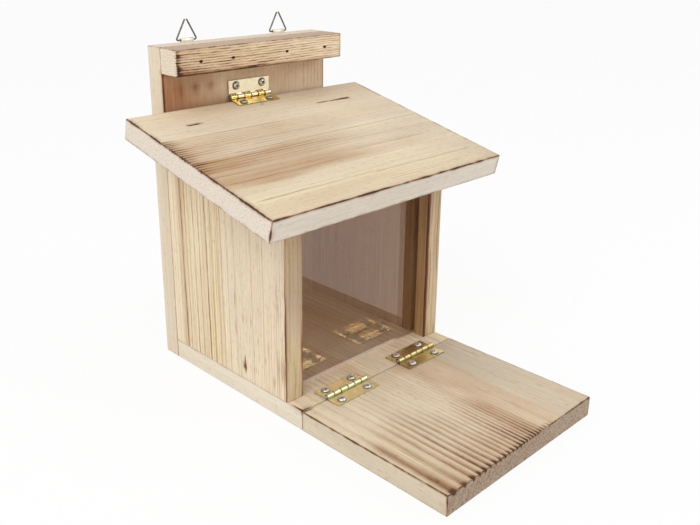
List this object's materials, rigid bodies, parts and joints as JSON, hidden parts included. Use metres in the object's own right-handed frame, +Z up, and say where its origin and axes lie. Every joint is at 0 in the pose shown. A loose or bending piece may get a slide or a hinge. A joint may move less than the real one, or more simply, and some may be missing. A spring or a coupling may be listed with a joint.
{
  "type": "squirrel feeder box",
  "caption": "Wooden feeder box with a sloping roof hinged to its back board, a clear front window, a fold-up platform on butt hinges and wire hanging rings.",
  "frame": {"origin": "middle of the box's underside, which is the floor board and the back board together", "axes": "+Z up, the front with the window and the platform faces -Y, +X to the right seen from the front"},
  "size_m": [0.213, 0.2758, 0.2454],
  "materials": {
    "flamed_wood": "softwood, flamed and brushed, pale faces with brown scorched grain and dark arrises",
    "clear_acrylic": "clear polished acrylic sheet",
    "hinge_brass": "bright brass-plated stamped sheet",
    "zinc_steel": "zinc-plated steel",
    "nail_steel": "dark steel nails",
    "hanger_brass": "brassed steel wire and strap"
  },
  "bodies": {
    "box": {"back_board": "flamed_wood", "top_batten": "flamed_wood", "floor_board": "flamed_wood", "left_side_board": "flamed_wood", "right_side_board": "flamed_wood", "window_pane": "clear_acrylic", "batten_nails": "nail_steel", "back_board_nails": "nail_steel", "floor_board_nails": "nail_steel", "roof_hinge_upper_leaf": "hinge_brass", "roof_hinge_pin": "hinge_brass", "roof_hinge_upper_screws": "zinc_steel", "left_platform_hinge_floor_leaf": "hinge_brass", "left_platform_hinge_pin": "hinge_brass", "left_platform_hinge_floor_screws": "zinc_steel", "right_platform_hinge_floor_leaf": "hinge_brass", "right_platform_hinge_pin": "hinge_brass", "right_platform_hinge_floor_screws": "zinc_steel", "left_hanger_plate": "hanger_brass", "left_hanger_screws": "zinc_steel", "right_hanger_plate": "hanger_brass", "right_hanger_screws": "zinc_steel"},
    "roof": {"roof_board": "flamed_wood", "roof_hinge_roof_leaf": "hinge_brass", "roof_hinge_roof_screws": "zinc_steel"},
    "platform": {"platform_board": "flamed_wood", "left_platform_hinge_platform_leaf": "hinge_brass", "left_platform_hinge_platform_screws": "zinc_steel", "right_platform_hinge_platform_leaf": "hinge_brass", "right_platform_hinge_platform_screws": "zinc_steel"},
    "left_ring": {"left_hanger_ring": "hanger_brass"},
    "right_ring": {"right_hanger_ring": "hanger_brass"}
  },
  "joints": [
    {"name": "roof_hinge", "type": "hinge", "parent": "box", "child": "roof", "pos_m": [-0.001, 0.0601, 0.18961], "axis": [-1, 0, 0], "range_deg": [0, 68.5]},
    {"name": "platform_hinge", "type": "hinge", "parent": "box", "child": "platform", "pos_m": [0, -0.07715, 0.0159], "axis": [-1, 0, 0], "range_deg": [0, 97]},
    {"name": "left_ring_swivel", "type": "hinge", "parent": "box", "child": "left_ring", "pos_m": [-0.042, 0.07848, 0.2309], "axis": [-1, 0, 0], "range_deg": [-85, 175]},
    {"name": "right_ring_swivel", "type": "hinge", "parent": "box", "child": "right_ring", "pos_m": [0.042, 0.07848, 0.2309], "axis": [-1, 0, 0], "range_deg": [-85, 175]}
  ]
}
